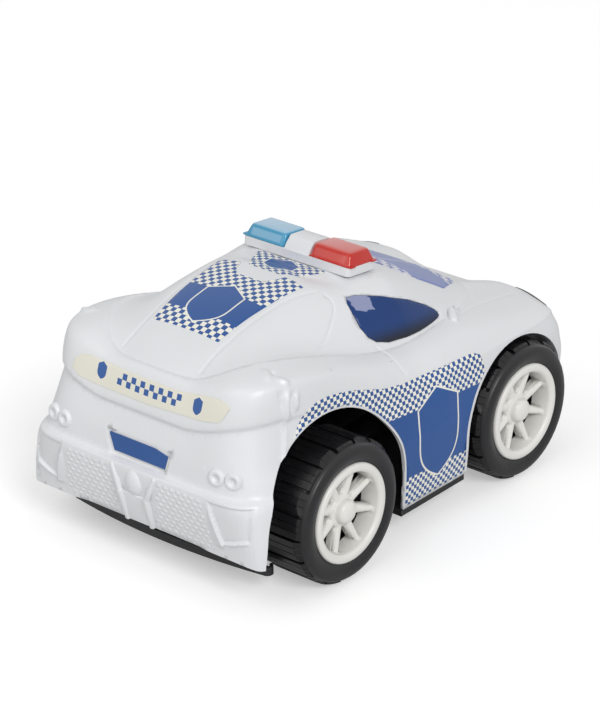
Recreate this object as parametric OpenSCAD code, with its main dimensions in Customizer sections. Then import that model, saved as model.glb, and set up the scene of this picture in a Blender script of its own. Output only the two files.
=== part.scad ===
/* [Body] */
// Length of the body from rear bumper to nose
body_len = 272; // [240:1:310]
// Width of the body across the front wings
body_w = 179; // [165:1:190]
// Height of the roof above the ground
roof_h = 139; // [128:1:155]
// Wall thickness of the moulded body
wall = 2; // [1.4:0.1:2.6]
// Points round one ring of the body
ring_points = 72; // [60:6:108]

/* [Wheels] */
// Diameter of the tyres over the tread blocks
tyre_d = 80; // [70:1:84]
// Width of a tyre
tyre_w = 34; // [26:1:36]
// Tread blocks round a tyre
tread_count = 18; // [12:1:24]
// Height of the tread blocks
tread_h = 1.8; // [0.8:0.1:3]
// Diameter of the wheel rims over the lip
rim_d = 55.6; // [48:0.2:60]
// Distance the rim lip stands out from the tyre
rim_proud = 2.5; // [1:0.1:4]
// Spokes of a wheel rim
spoke_count = 8; // [5:1:10]
// Diameter of the hub in the middle of the rim
hub_d = 19; // [15:0.5:24]
// Distance between the axles
wheelbase = 150; // [140:1:160]
// Distance from the rear end to the rear axle
rear_overhang = 66; // [62:1:70]
// Width over the outer faces of the rims
track_w = 188.2; // [182:0.2:200]
// Height of the rear wheel arches above the hub
rear_arch_r = 54.5; // [50:0.5:58]
// Half length of the rear wheel arches
rear_arch_half = 50; // [46:0.5:56]
// Radius of the front wheel arches
front_arch_r = 43.5; // [43:0.5:48]

/* [Axles] */
// Diameter of the steel axles
axle_d = 4; // [3:0.1:5]
// Radial clearance of an axle in its bearing
axle_play = 0.06; // [0.02:0.01:0.1]
// Thickness of a bearing upright
upright_t = 6; // [4:0.5:8]

/* [Chassis] */
// Bow of the rear and front edge of the chassis
edge_bow = 5.6; // [3:0.1:8]
// Half width of the chassis ends
tail_half = 71; // [64:0.5:76]
// Height of the lip round the chassis ends
lip_h = 5; // [3.5:0.1:6.5]
// Thickness of the chassis floor
floor_t = 3.6; // [3:0.1:5]
// Half width of the floor between the wheels
floor_half = 50; // [44:0.5:52]
// Diameter of the body posts
post_d = 10; // [8:0.5:13]
// Diameter of the body screws
screw_d = 3; // [2.5:0.1:3.5]
// Length of the body screws under the head
screw_len = 14; // [10:0.5:18]

/* [Light bar] */
// Length of the light bar across the roof
bar_len = 75; // [66:0.5:84]
// Depth of the light bar from rear to front
bar_depth = 23.5; // [20:0.5:27]
// Height of the white base
bar_base_h = 4.9; // [4:0.1:8]
// Height of the lenses above the base
lens_h = 7.3; // [5:0.1:11]
// Wall thickness of a lens
lens_wall = 1.3; // [0.9:0.1:2]
// Width of the white bridge between the lenses
bridge_w = 17; // [12:0.5:24]

/* [Labels] */
// Thickness of the printed labels
label_t = 0.3; // [0.2:0.05:0.6]

/* [Fits] */
// Gap between pieces that rest on each other
seat = 0.05; // [0.02:0.01:0.15]
// Gap between pieces that only pass each other
gap = 0.4; // [0.3:0.05:0.8]

/* [Hidden] */
$fn = 48;
kx = body_len / 272;
ky = body_w / 179;
kz = roof_h / 139;
hub_z = tyre_d / 2;
rear_axle_x = rear_overhang - body_len / 2;
front_axle_x = rear_axle_x + wheelbase;
mid_x = 15 * kx;
white = [0.93, 0.93, 0.95];
black = [0.09, 0.09, 0.1];

// Section lines of the body from sill to roof, drawn for a car 272 long, 179 wide and 139 high.
// rear x, rear z, rear half width, side half width, side z, front half width, front x, front z,
// rear corner, front corner, rise over rear wheel, rise over front wheel, roundness of the line
levels = [
  [-130, 28.5, 85.5, 85.5, 17.5, 87, 130, 27, 14, 9, 0, 0, 0],
  [-133.5, 42, 85.5, 87, 32, 89, 135, 40, 12, 8, 0, 0, 1],
  [-135.8, 57, 84.5, 88, 50, 89.5, 138.1, 54, 10, 8, 0, 0, 1],
  [-135.5, 62.5, 83.5, 88.2, 58, 89.5, 138.1, 62, 9, 8, 0, 0, 0.3],
  [-131.5, 64.5, 82, 88, 62, 89.5, 137, 66, 9, 8, 1, 0, 0.3],
  [-129.5, 77, 77.5, 87.5, 73, 89, 135.5, 74, 8, 8, 5, 1, 1],
  [-125.4, 90, 75, 86, 82, 88, 133.5, 81, 7, 7, 10, 2.5, 0.5],
  [-126.8, 93, 75.5, 85.5, 84.5, 87.5, 133, 83, 7, 7, 11, 1.5, 0.5],
  [-123.5, 104, 76, 81.5, 92.5, 82, 127, 87.5, 7, 6, 12, 1.5, 1],
  [-120.5, 111.5, 75, 75.5, 98, 72, 117, 91.5, 6, 5, 12, 1, 1],
  [-117, 115, 65, 67, 101, 57, 101, 97, 3.4, 4, 12.5, 0, 0],
  [-115.5, 114.2, 63.5, 65.8, 100.8, 56, 99, 97, 3.4, 4, 12, 0, 0],
  [-110, 118, 59, 63, 105, 53, 92, 101.5, 3.2, 3.5, 8, 0, 1],
  [-97, 125, 53, 58.5, 114.5, 47, 76, 110, 3, 3.5, 2, 0, 1],
  [-77, 132.2, 47, 53.5, 123.5, 41, 54, 120, 2.8, 3.5, 0, 0, 1],
  [-54, 136.8, 40, 47, 129.7, 34, 34, 128.8, 2.7, 3, 0, 0, 1],
  [-39, 138.5, 32, 36, 133.8, 26, 15, 132.8, 2.6, 2.8, 0, 0, 1],
  [-27, 138.9, 17, 18, 136.4, 14, -2, 134.8, 2.4, 2.4, 0, 0, 1]
];

function mix(a, b, t) = a + (b - a) * t;
function smooth(a, b, t) = let(u = min(1, max(0, (t - a) / (b - a)))) u * u * (3 - 2 * u);
function bump(u) = abs(u) > 1 ? 0 : (1 - u * u) * (1 - u * u);
function unit(v) = v / max(norm(v), 0.000001);

// Tangent of the section lines at a level, nought where the line has a corner
function slope(i) = let(a = levels[max(0, i - 1)], b = levels[min(len(levels) - 1, i + 1)])
  (b - a) * 0.5 * levels[i][12];

// Section values at any height between two levels
function row(v) = let(i = min(len(levels) - 2, floor(v)), t = v - i, t2 = t * t, t3 = t2 * t)
  levels[i] * (2 * t3 - 3 * t2 + 1) + slope(i) * (t3 - 2 * t2 + t)
  + levels[i + 1] * (3 * t2 - 2 * t3) + slope(i + 1) * (t3 - t2);

// Point of a ring, the angle runs from the rear round the right side to the front
function ring_at(r, phi) = let(
    c = cos(phi), s = abs(sin(phi)), back = c > 0, n = max(1.8, back ? r[8] : r[9]),
    rho = pow(pow(abs(c), n) + pow(s, n), -1 / n),
    end_x = (back ? r[0] : r[6]) * kx, u = rho * abs(c),
    mid = min(mid_x, (r[6] - 14) * kx),
    x = mid + (end_x - mid) * u,
    w = mix(r[3], back ? r[2] : r[5], smooth(back ? -0.15 : -0.1, 1.15, u)) * ky,
    a = abs(phi > 180 ? phi - 360 : phi),
    z = r[4] + (r[1] - r[4]) * (1 - smooth(36, 76, a)) + (r[7] - r[4]) * smooth(104, 146, a)
      + r[10] * bump((a - 54) / 34) + r[11] * bump((a - 119) / 24))
  [x, -w * rho * sin(phi), z * kz];

// Point at a distance outside the body surface, inside for a negative distance
function skin_at(v, phi, off) = let(
    p = ring_at(row(v), phi),
    du = ring_at(row(v), phi + 1) - ring_at(row(v), phi - 1),
    dv = ring_at(row(min(len(levels) - 1.02, v + 0.15)), phi) - ring_at(row(max(0, v - 0.15)), phi))
  p + off * unit(cross(du, dv));

outer_steps = [0, 1, 2, 2.6, 3, 3.4, 4, 5, 5.5, 6, 6.5, 7, 7.5, 8, 8.5, 9, 10, 11, 11.4, 12, 12.7,
  13.4, 14, 15, 16, 17];
inner_steps = [0.1, 1, 2.2, 4.1, 5, 6, 8, 9, 10, 11, 12, 13, 14, 15, 16];

// Closed solid through a stack of rings with flat fans at both ends
module rings_solid(stack) {
  n = len(stack[0]);
  m = len(stack);
  function middle(q) = q * [for (p = q) 1] / len(q);
  function mean(q) = [for (k = [0 : 2]) middle([for (p = q) p[k]])];
  pts = concat([for (q = stack) for (p = q) p], [mean(stack[0]), mean(stack[m - 1])]);
  faces = concat(
    [for (i = [0 : m - 2]) for (j = [0 : n - 1]) let(a = i * n + j, b = i * n + (j + 1) % n)
      [a, a + n, b]],
    [for (i = [0 : m - 2]) for (j = [0 : n - 1]) let(a = i * n + j, b = i * n + (j + 1) % n)
      [b, a + n, b + n]],
    [for (j = [0 : n - 1]) [j, (j + 1) % n, m * n]],
    [for (j = [0 : n - 1]) [(m - 1) * n + (j + 1) % n, (m - 1) * n + j, m * n + 1]]);
  polyhedron(points = pts, faces = faces, convexity = 8);
}

// Layer of the body surface between two distances, on the same facets as the body
module skin_patch(low_step, high_step, from_deg, to_deg, lo, hi) {
  step = 360 / ring_points;
  vs = [for (v = outer_steps) if (v >= low_step && v <= high_step) v];
  angles = [for (j = [floor(from_deg / step) : ceil(to_deg / step)]) j * step];
  n = len(angles);
  m = len(vs);
  k = m * n;
  pts = concat([for (v = vs) for (a = angles) skin_at(v, a, lo)], [for (v = vs) for (a = angles) skin_at(v, a, hi)]);
  quads = [for (i = [0 : m - 2]) for (j = [0 : n - 2]) i * n + j];
  faces = concat(
    [for (q = quads) [k + q, k + q + n, k + q + 1]],
    [for (q = quads) [k + q + 1, k + q + n, k + q + n + 1]],
    [for (q = quads) [q, q + 1, q + n]],
    [for (q = quads) [q + 1, q + n + 1, q + n]],
    [for (j = [0 : n - 2]) [j, k + j, j + 1]],
    [for (j = [0 : n - 2]) [j + 1, k + j, k + j + 1]],
    [for (j = [k - n : k - 2]) [j, j + 1, k + j]],
    [for (j = [k - n : k - 2]) [j + 1, k + j + 1, k + j]],
    [for (i = [0 : m - 2]) [i * n, i * n + n, k + i * n]],
    [for (i = [0 : m - 2]) [i * n + n, k + i * n + n, k + i * n]],
    [for (i = [1 : m - 1]) [i * n - 1, k + i * n - 1, i * n + n - 1]],
    [for (i = [1 : m - 1]) [i * n + n - 1, k + i * n - 1, k + i * n + n - 1]]);
  polyhedron(points = pts, faces = faces, convexity = 8);
}

// The same layer over the top of the roof
module skin_cap(low_step, lo, hi) {
  step = 360 / ring_points;
  vs = [for (v = outer_steps) if (v >= low_step) v];
  upper = [for (v = vs) [for (j = [0 : ring_points - 1]) skin_at(v, j * step, hi)]];
  under = [for (v = vs) [for (j = [0 : ring_points - 1]) skin_at(v, j * step, lo)]];
  difference() {
    rings_solid(upper);
    rings_solid(concat([[for (p = under[0]) p - [0, 0, 5]]], under));
  }
}

function scaled(list, a, b) = [for (p = list) [p[0] * a, p[1] * b]];
// The second half of an outline mirrored across its first or its second axis
function both_y(list) = concat(list, [for (i = [len(list) - 1 : -1 : 0]) [list[i][0], -list[i][1]]]);
function both_x(list) = concat(list, [for (i = [len(list) - 1 : -1 : 0]) [-list[i][0], list[i][1]]]);

// Outline seen from above, cut through the whole height
module from_above(outline) {
  translate([0, 0, 60])
    linear_extrude(height = 120)
      polygon(scaled(outline, kx, ky));
}

// Outline seen from the right, cut through the right half
module from_right(outline) {
  translate([0, -30, 0])
    rotate([90, 0, 0])
      linear_extrude(height = 100)
        polygon(scaled(outline, kx, kz));
}

// Outline seen from behind, y to the left and z up, cut through the rear end
module from_behind(outline) {
  translate([-60, 0, 0])
    rotate([90, 0, -90])
      linear_extrude(height = 120)
        polygon(scaled([for (p = outline) [-p[0], p[1]]], ky, kz));
}

module mirrored() {
  children();
  mirror([0, 1, 0])
    children();
}

module outer() {
  rings_solid([for (v = outer_steps) let(r = row(v)) [for (j = [0 : ring_points - 1]) ring_at(r, j * 360 / ring_points)]]);
}

module cavity() {
  n = ring_points / 3;
  inside = [for (v = inner_steps) [for (j = [0 : n - 1]) skin_at(v, j * 360 / n, -wall)]];
  foot = [for (p = inside[0]) [p[0], p[1], p[2] - 14]];
  rings_solid(concat([foot], inside));
}

module arch_cut(x, half, r) {
  for (side = [-1, 1])
    translate([x, side * (body_w / 2 + 10), hub_z])
      rotate([90, 0, 0]) {
        scale([half / r, 1, 1])
          cylinder(r = r, h = 90, center = true, $fn = 72);
        translate([-half, -hub_z - r, -45])
          cube([2 * half, hub_z + r, 90]);
      }
}

// Frame of the light bar on the sloping front of the roof
bar_tilt = 6.5;
bar_x = 7.5 * kx;
bar_z = 134.2 * kz;
peg_y = 22;
peg_d = 4;
module on_bar() {
  translate([bar_x, 0, bar_z])
    rotate([0, bar_tilt, 0])
      children();
}

// Recess for the number plate, deeper by the given amount
plate_tilt = 12;
module plate_recess(more) {
  translate([-129 * kx + 1.2 + more, 0, 71.5 * kz])
    rotate([0, -plate_tilt, 0])
      translate([-20, 0, 0])
        rotate([90, 0, 90])
          linear_extrude(height = 20)
            polygon([[-23.5 - more, 6.6 + more], [23.5 + more, 6.6 + more], [19.5 + more, -6.4 - more],
              [-19.5 - more, -6.4 - more]]);
}

// Corner vent of the rear bumper
vent_outline = [[54, 60.5], [75.5, 60.5], [76, 45], [61, 40]];
vent_depth = 1.8;

// Outline of the side windows
window_outline = [[-16.4, 127.4], [-14, 129.6], [-8, 129], [-2.6, 127.6], [8.6, 124.3], [24, 118], [38.1, 110],
  [43.4, 106], [45.4, 103.8], [45.2, 102.4], [43.1, 101.8], [34.8, 101.5], [24.3, 101.5], [12.1, 102.2], [-1.7, 104],
  [-10.6, 107], [-14.7, 110.5], [-17, 116.1], [-17.3, 122.5]];

// Lines of the hatch and of the quarter panel behind the door
hatch_line = [[-112, -27], [-97, -27], [-80, -28], [-58, -29.5], [-38, -32], [-26, -35]];
quarter_line = [[-25.6, 134.2], [-23.7, 132.2], [-24.1, 129.7], [-26.4, 127.2], [-31.5, 124.1], [-41.4, 118.8],
  [-56.5, 116.4], [-64, 112]];
door_line = [[-7, 105], [-13.5, 101], [-13, 92.9]];

module groove(points, width) {
  for (i = [0 : len(points) - 2])
    hull() {
      translate(points[i])
        circle(d = width, $fn = 8);
      translate(points[i + 1])
        circle(d = width, $fn = 8);
    }
}

module side_prism(points, width) {
  translate([0, -20, 0])
    rotate([90, 0, 0])
      linear_extrude(height = 110)
        groove(scaled(points, kx, kz), width);
}

module bar_between(p, q, d1, d2) {
  hull() {
    translate(p)
      sphere(d = d1, $fn = 8);
    translate(q)
      sphere(d = d2, $fn = 8);
  }
}

function at_rear(x, y, z) = [x * kx, y * ky, z * kz];

// Raised details moulded in the rear bumper and beside the windscreen
module raised_details() {
  // Lamp rings
  for (side = [-1, 1]) {
    for (p = [[-128.6, 54.2, 73, 6], [-126.6, 63.6, 73, 12]])
      translate(at_rear(p[0], side * p[1], p[2]))
        rotate([0, -84, -side * p[3]])
          difference() {
            cylinder(d1 = 9.8, d2 = 8.4, h = 2.6, $fn = 16);
            translate([0, 0, 0.9])
              cylinder(d1 = 3, d2 = 4.4, h = 2, $fn = 12);
          }
    // Fins beside the fog lamp
    bar_between(at_rear(-135.4, side * 15, 61), at_rear(-136, side * 9.4, 47.5), 2.4, 3.6);
    bar_between(at_rear(-136, side * 9.4, 47.5), at_rear(-131.6, side * 8.8, 30.5), 3.6, 3.6);
    // Bars round the corner vents
    bar_between(at_rear(-134.2, side * 51.5, 61.5), at_rear(-131.6, side * 58.5, 36.5), 3, 4);
    bar_between(at_rear(-131.6, side * 58.5, 36.5), at_rear(-128.2, side * 75.8, 42.5), 4, 3);
    // Door mirror stubs
    bar_between(at_rear(59, side * 57.5, 100.5), at_rear(57.5, side * 64, 100), 4, 6);
  }
  // Fog lamp and the block below it
  translate(at_rear(-134.6, 0, 54.6))
    scale([0.85, 1, 1.3])
      sphere(d = 8.6, $fn = 14);
  hull() {
    translate(at_rear(-133, 0, 47.2))
      cube([6, 18, 1], center = true);
    translate(at_rear(-129.4, 0, 30))
      cube([6, 17, 1], center = true);
  }
}

post_y = 34;
post_spots = [for (x = [rear_axle_x - 27, front_axle_x + 26]) for (side = [-1, 1]) [x, side * post_y]];
sill_z = levels[0][4] * kz;
floor_top = sill_z - gap;
floor_z = floor_top - floor_t;
post_z = floor_top + seat;

module posts() {
  intersection() {
    for (p = post_spots)
      translate([p[0], p[1], post_z])
        cylinder(d = post_d, h = 140, $fn = 12);
    rings_solid([for (v = [0.1, 1, 2.2, 4.1, 5, 6, 8, 9, 10, 11, 12, 13, 14, 15, 16])
      [for (j = [0 : 23]) let(p = skin_at(v, j * 15, -wall / 2)) v < 1 ? [p[0], p[1], 0] : p]]);
  }
}

module body_shell() {
  color(white)
    difference() {
      union() {
        difference() {
          outer();
          difference() {
            cavity();
            plate_recess(wall);
            mirrored()
              intersection() {
                skin_patch(0, 4, -60, 60, -vent_depth - wall, 1);
                from_behind(vent_outline);
              }
          }
        }
        posts();
        raised_details();
      }
      plate_recess(0);
      mirrored() {
        // Sunk vents and mesh fields of the bumper
        intersection() {
          skin_patch(0, 4, -60, 60, -vent_depth, 3);
          from_behind(vent_outline);
        }
        // Seats of the side windows
        intersection() {
          skin_patch(11, 15, 54, 126, -0.5, 3);
          from_right(window_outline);
        }
        // Panel lines
        intersection() {
          skin_patch(11, 16, 0, 70, -0.7, 3);
          translate([0, 0, 90])
            linear_extrude(height = 60)
              groove(scaled(hatch_line, kx, ky), 1.2);
        }
        intersection() {
          skin_patch(7, 16, 30, 95, -0.7, 3);
          side_prism(quarter_line, 1.3);
        }
        intersection() {
          skin_patch(7, 12, 60, 110, -0.5, 3);
          side_prism(door_line, 0.9);
        }
      }
      arch_cut(rear_axle_x, rear_arch_half, rear_arch_r);
      arch_cut(front_axle_x, front_arch_r, front_arch_r);
      for (p = post_spots)
        translate([p[0], p[1], post_z - 1])
          cylinder(d = screw_d + 2 * gap, h = screw_len + 1, $fn = 12);
      on_bar()
        for (side = [-1, 1])
          translate([0, side * peg_y, -8])
            cylinder(d = peg_d + 2 * gap, h = 16, $fn = 12);
    }
}

// Floor plan of the chassis with the wheel pockets left free
lip_z = floor_z - 1;
end_r = 3.2;
bow_half = tail_half - end_r;
bow_r = (bow_half * bow_half + edge_bow * edge_bow) / (2 * edge_bow);
pocket = sqrt(pow(hub_z, 2) - pow(hub_z - lip_z - lip_h, 2)) + 2;
tail_x = rear_axle_x - pocket - 2 * end_r;
nose_x = front_axle_x + pocket + 2 * end_r;
sill_half = levels[0][3] * ky - 0.6;
cradle_y = track_w / 2 - rim_proud - tyre_w - 3.2 - upright_t / 2;
hub_in = track_w / 2 - rim_proud - tyre_w - 0.6;

// Bowed bar across one end with round corners, inset for the inside of its lip
module end_plan(inset) {
  intersection() {
    translate([bow_r - edge_bow, 0])
      circle(r = bow_r - inset, $fn = 360);
    translate([-edge_bow, -bow_half])
      square([edge_bow + 2 * end_r + pocket - 8, 2 * bow_half]);
  }
  for (side = [-1, 1])
    translate([end_r, side * bow_half])
      circle(r = end_r - inset);
}

module end_bar() {
  translate([0, 0, lip_z])
    difference() {
      linear_extrude(height = lip_h)
        intersection() {
          end_plan(0);
          translate([-20, -100])
            square([20 + 2 * end_r, 200]);
        }
      translate([0, 0, 2.2])
        linear_extrude(height = lip_h)
          end_plan(1.6);
    }
}

module floor_plan() {
  translate([tail_x + 2, -floor_half])
    square([nose_x - tail_x - 4, 2 * floor_half]);
  translate([rear_axle_x + rear_arch_half + 1, -sill_half])
    square([wheelbase - rear_arch_half - front_arch_r - 2, 2 * sill_half]);
  // Feet of the bearing uprights
  for (x = [rear_axle_x, front_axle_x])
    translate([x - 12, -cradle_y - upright_t / 2])
      square([24, 2 * cradle_y + upright_t]);
}

module upright(x, side) {
  translate([x, side * cradle_y, 0])
    difference() {
      union() {
        translate([-9, -upright_t / 2, floor_top - 1])
          cube([18, upright_t, hub_z - floor_top + 1]);
        translate([0, 0, hub_z])
          rotate([90, 0, 0])
            cylinder(d = 18, h = upright_t, center = true);
        translate([0, 0, hub_z])
          rotate([-side * 90, 0, 0])
            cylinder(d = axle_d + 6, h = hub_in - gap - cradle_y);
        translate([-1.5, -side * 10 - 4, floor_top - 1])
          cube([3, 14, 14]);
      }
      translate([0, 0, hub_z])
        rotate([90, 0, 0])
          cylinder(d = axle_d + 2 * axle_play, h = 60, center = true);
    }
}

module chassis() {
  color(black)
    difference() {
      union() {
        translate([0, 0, floor_z])
          linear_extrude(height = floor_t)
            floor_plan();
        // Bars with a raised lip across the rear and the front
        translate([tail_x, 0, 0])
          end_bar();
        translate([nose_x, 0, 0])
          mirror([1, 0, 0])
            end_bar();
        // Stiffening ribs along the floor
        for (y = [-18, 0, 18])
          translate([tail_x + 4, y - 1, floor_top - 0.5])
            cube([nose_x - tail_x - 8, 2, 4.5]);
        for (x = [rear_axle_x, front_axle_x])
          for (side = [-1, 1])
            upright(x, side);
      }
      for (p = post_spots)
        translate([p[0], p[1], floor_z]) {
          translate([0, 0, -1])
            cylinder(d = screw_d + 2 * gap, h = floor_t + 2);
          translate([0, 0, -1])
            cylinder(d = 2 * screw_d + 2 * gap, h = 3.2);
        }
    }
}

module chassis_screws() {
  color([0.6, 0.6, 0.62])
    for (p = post_spots)
      translate([p[0], p[1], floor_z + 2.2 - seat]) {
        cylinder(d = screw_d, h = screw_len - 2);
        translate([0, 0, -1.9])
          difference() {
            cylinder(d1 = 1.6 * screw_d, d2 = 2 * screw_d, h = 1.9);
            translate([-0.4, -1.5, -0.1])
              cube([0.8, 3, 0.9]);
            translate([-1.5, -0.4, -0.1])
              cube([3, 0.8, 0.9]);
          }
      }
}

axle_end = track_w / 2 - 10;
module axle(x) {
  color([0.7, 0.7, 0.72])
    translate([x, 0, hub_z])
      rotate([90, 0, 0])
        cylinder(d = axle_d, h = 2 * axle_end, center = true);
}

module rear_axle() {
  axle(rear_axle_x);
}

module front_axle() {
  axle(front_axle_x);
}

// A wheel lies with its outer face at nought and its axis upright
module place_wheel(x, side) {
  translate([x, side * track_w / 2, hub_z])
    rotate([-side * 90, 0, 0])
      children();
}

lip_r = rim_d / 2;
bore_r = lip_r - 1.8;
dish_r = lip_r - 5.2;
hub_r = hub_d / 2;
rim_depth = rim_proud + tyre_w - 4;
hub_face = 6.5;

// A spoke is a round ridge that narrows towards the barrel, on a web that reaches further back
spoke_back = 12;
spoke_w = 6.4;
spoke_tip = 3;
module spoke() {
  reach = dish_r + 0.8;
  inner = hub_r - 2.5;
  rise = 3.4;
  translate([inner, 0, -hub_face - spoke_w / 2])
    rotate([0, 90 - atan2(rise, reach - inner), 0])
      cylinder(d1 = spoke_w, d2 = spoke_tip, h = norm([rise, reach - inner]), $fn = 32);
  translate([0, 0, -spoke_back])
    linear_extrude(height = spoke_back - hub_face - spoke_w / 2 + 1.2)
      polygon([[inner, -spoke_w / 2], [inner, spoke_w / 2], [reach, spoke_tip / 2], [reach, -spoke_tip / 2]]);
}

module rim() {
  color([0.91, 0.9, 0.87])
    difference() {
      union() {
        rotate_extrude($fn = 72)
          polygon(concat(
            [[dish_r, -rim_depth], [bore_r, -rim_depth], [bore_r, -rim_proud + seat], [lip_r, -rim_proud + seat]],
            [for (a = [0 : 15 : 75]) [lip_r - 1.7 + 1.7 * cos(a), -1.7 + 1.7 * sin(a)]],
            [for (a = [90 : 15 : 180]) [dish_r + 2.4 + 2.4 * cos(a), -2.4 + 2.4 * sin(a)]]));
        rotate_extrude($fn = 48)
          polygon(concat([[0, -12.5], [hub_r, -12.5], [hub_r, -hub_face - 0.8], [hub_r - 0.8, -hub_face], [5.2, -hub_face]],
            [for (a = [0 : 15 : 90]) [4.8 * cos(a), 0.6 - hub_face + 3 * sin(a)]]));
        translate([0, 0, hub_in - track_w / 2])
          cylinder(d = axle_d + 7, h = track_w / 2 - hub_in - 12);
        for (i = [0 : spoke_count - 1])
          rotate([0, 0, i * 360 / spoke_count + 11])
            spoke();
      }
      translate([0, 0, -60])
        cylinder(d = axle_d + 2 * 0.02, h = 60 - 10 + 0.5);
    }
}

tyre_r = tyre_d / 2;
carcass_r = tyre_r - tread_h;
module tyre() {
  block = 2 * PI * tyre_r / tread_count * 0.82;
  color(black)
    difference() {
      union() {
        translate([0, 0, -rim_proud - tyre_w])
          rotate_extrude($fn = 72)
            polygon(concat(
              [[bore_r + seat, 0]],
              [for (a = [-90 : 18 : 0]) [carcass_r - 3.5 + 3.5 * cos(a), 3.5 + 3.5 * sin(a)]],
              [for (a = [0 : 18 : 90]) [carcass_r - 3.5 + 3.5 * cos(a), tyre_w - 3.5 + 3.5 * sin(a)]],
              [[bore_r + seat, tyre_w]]));
        for (i = [0 : tread_count - 1])
          rotate([0, 0, 90 + i * 360 / tread_count])
            translate([carcass_r - 4, -block / 2, -rim_proud - tyre_w + 2.2])
              cube([4 + tread_h, block, tyre_w - (i % 2 == 0 ? 4.4 : 7)]);
      }
    }
}

module rear_rim_right() {
  place_wheel(rear_axle_x, -1)
    rim();
}

module rear_rim_left() {
  place_wheel(rear_axle_x, 1)
    rim();
}

module front_rim_right() {
  place_wheel(front_axle_x, -1)
    rim();
}

module front_rim_left() {
  place_wheel(front_axle_x, 1)
    rim();
}

module rear_tyre_right() {
  place_wheel(rear_axle_x, -1)
    tyre();
}

module rear_tyre_left() {
  place_wheel(rear_axle_x, 1)
    tyre();
}

module front_tyre_right() {
  place_wheel(front_axle_x, -1)
    tyre();
}

module front_tyre_left() {
  place_wheel(front_axle_x, 1)
    tyre();
}

// Cross section of the loaf shape of the lenses and of the bridge
half_depth = bar_depth / 2;
module loaf(length, drop) {
  rotate([90, 0, 0])
    linear_extrude(height = length, center = true)
      polygon([[-half_depth + 0.6, 0], [half_depth - 0.6, 0], [half_depth - 2.4, 3], [half_depth - 5.2, lens_h - drop - 0.6],
        [half_depth - 6.2, lens_h - drop], [6.2 - half_depth, lens_h - drop], [5.2 - half_depth, lens_h - drop - 0.6],
        [2.4 - half_depth, 3]]);
}

module rounded_slab(dx, dy, h, r) {
  translate([-dx / 2 + r, -dy / 2, 0])
    cube([dx - 2 * r, dy, h]);
  translate([-dx / 2, -dy / 2 + r, 0])
    cube([dx, dy - 2 * r, h]);
  for (sx = [-1, 1])
    for (sy = [-1, 1])
      translate([sx * (dx / 2 - r), sy * (dy / 2 - r), 0])
        cylinder(r = r, h = h);
}

module light_bar_base() {
  color(white)
    on_bar()
      difference() {
        union() {
          rounded_slab(bar_depth, bar_len, bar_base_h, 2.5);
          translate([0, 0, bar_base_h - 0.01])
            loaf(bridge_w, 0.5);
          for (side = [-1, 1])
            translate([0, side * peg_y, -5])
              cylinder(d = peg_d, h = 6);
        }
        difference() {
          translate([0, 0, -1])
            rounded_slab(bar_depth - 4, bar_len - 4, bar_base_h - 0.8, 1.5);
          for (side = [-1, 1])
            translate([0, side * peg_y, -6])
              cylinder(d = peg_d, h = 12);
        }
      }
}

// A lens is a hollow moulding with sloping walls and rounded edges
lens_len = (bar_len - bridge_w) / 2 - 0.8;
module lens_form(inset) {
  top_r = 1.8;
  hull() {
    for (sx = [-1, 1])
      for (end = [0, 1]) {
        translate([sx * (half_depth - 0.4 - inset - 1.5), end * (lens_len - 3 - 2 * inset) + inset + 1.5, inset > 0 ? -1 : 0])
          cylinder(r = 1.5, h = 1 + (inset > 0 ? 1 : 0), $fn = 12);
        translate([sx * (half_depth - 5.4 - inset), end * (lens_len - 6.5 - 2 * inset) + inset + 2.2, lens_h - top_r - inset])
          sphere(r = top_r, $fn = 12);
      }
  }
}

module lens(tint, side) {
  color(tint)
    on_bar()
      translate([0, 0, bar_base_h + seat])
        mirror([0, side < 0 ? 1 : 0, 0])
          translate([0, bridge_w / 2 + 0.8, 0]) {
            difference() {
              lens_form(0);
              lens_form(lens_wall);
            }
            for (sx = [-1, 1])
              translate([sx * (half_depth - 3) - 2, lens_len - 1.2, 0])
                cube([4, 2.4, 1]);
          }
}

module blue_lens() {
  lens([0.35, 0.68, 0.85], 1);
}

module red_lens() {
  lens([0.82, 0.16, 0.12], -1);
}

label_blue = [0.22, 0.34, 0.62];
module hatch_label() {
  color(label_blue)
    intersection() {
      skin_patch(12.7, 17, -76, 76, seat, seat + label_t);
      from_above(both_y([[-91.5, 23], [-31, 29], [-29.5, 16], [-36, 13.5], [-41, 9]]));
    }
}

module roof_label() {
  color(label_blue)
    intersection() {
      skin_cap(15, seat, seat + label_t);
      from_above(both_y([[-28.5, 11], [-23, 16], [-7, 23.5], [-5.5, 22]]));
    }
}

module windscreen_label() {
  color(label_blue)
    intersection() {
      skin_patch(11.4, 16, 92, 268, seat, seat + label_t);
      from_above(both_y([[31, 22], [38, 35], [48, 43], [66, 47], [86, 38], [94, 28], [97, 12]]));
    }
}

module rear_panel_label() {
  color([0.93, 0.91, 0.84])
    intersection() {
      skin_patch(7, 9, -46, 46, seat, seat + label_t);
      from_behind([[51.7, 102.5], [51, 107], [46, 110.6], [41, 111.2], [12, 109.7], [-23, 109.4], [-40, 112], [-50, 113],
        [-55, 112], [-57.3, 109.5], [-54.5, 104], [-52, 101.6], [-40, 99.6], [-5, 97.7], [31, 98.2], [46, 99.4]]);
    }
}

module number_plate_label() {
  color(label_blue)
    translate([-129 * kx + 1.2, 0, 71.5 * kz])
      rotate([0, -plate_tilt, 0])
        translate([-seat - label_t, 0, 0])
          rotate([90, 0, 90])
            linear_extrude(height = label_t)
              polygon([[-22.6, 5.9], [22.6, 5.9], [18.9, -5.7], [-18.9, -5.7]]);
}

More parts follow.
